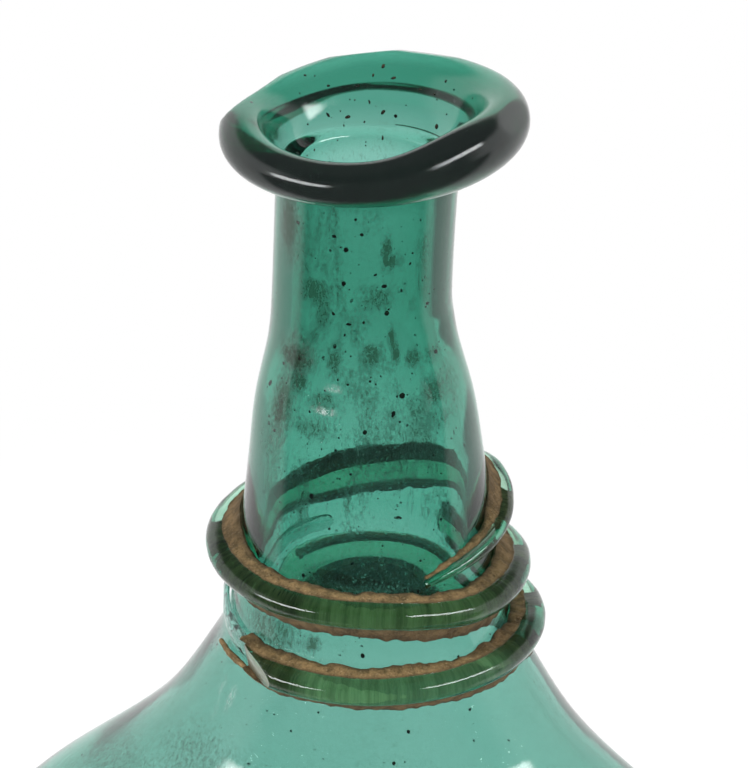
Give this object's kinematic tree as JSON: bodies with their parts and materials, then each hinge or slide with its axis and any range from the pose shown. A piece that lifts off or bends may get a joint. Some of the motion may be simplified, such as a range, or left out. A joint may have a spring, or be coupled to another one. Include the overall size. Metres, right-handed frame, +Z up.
{
  "type": "saddle flask",
  "caption": "Flattened free-blown glass flask with a tall swelling neck, a thick mouth coil and a broken thread wound round the neck's foot.",
  "frame": {"origin": "middle of the flat resting ring under the base, on the table plane", "axes": "+Z up along the neck, X along the body's wide side, Y through its thin side; -Y is the front"},
  "size_m": [0.152, 0.1, 0.2404],
  "materials": {
    "teal_glass": "fire-polished, transparent, with seeds and dark specks",
    "dark_teal_glass": "fire-polished, thick and dark",
    "burial_soil": "dry, grainy, matt"
  },
  "bodies": {
    "root": {"vessel": "teal_glass", "mouth_coil": "dark_teal_glass", "thread_upper": "dark_teal_glass", "thread_lower": "dark_teal_glass", "thread_remnant": "dark_teal_glass", "pontil_mark": "dark_teal_glass", "soil_upper_top": "burial_soil", "soil_upper_under": "burial_soil", "soil_lower_top": "burial_soil", "soil_lower_under": "burial_soil", "soil_scar": "burial_soil"}
  },
  "joints": []
}
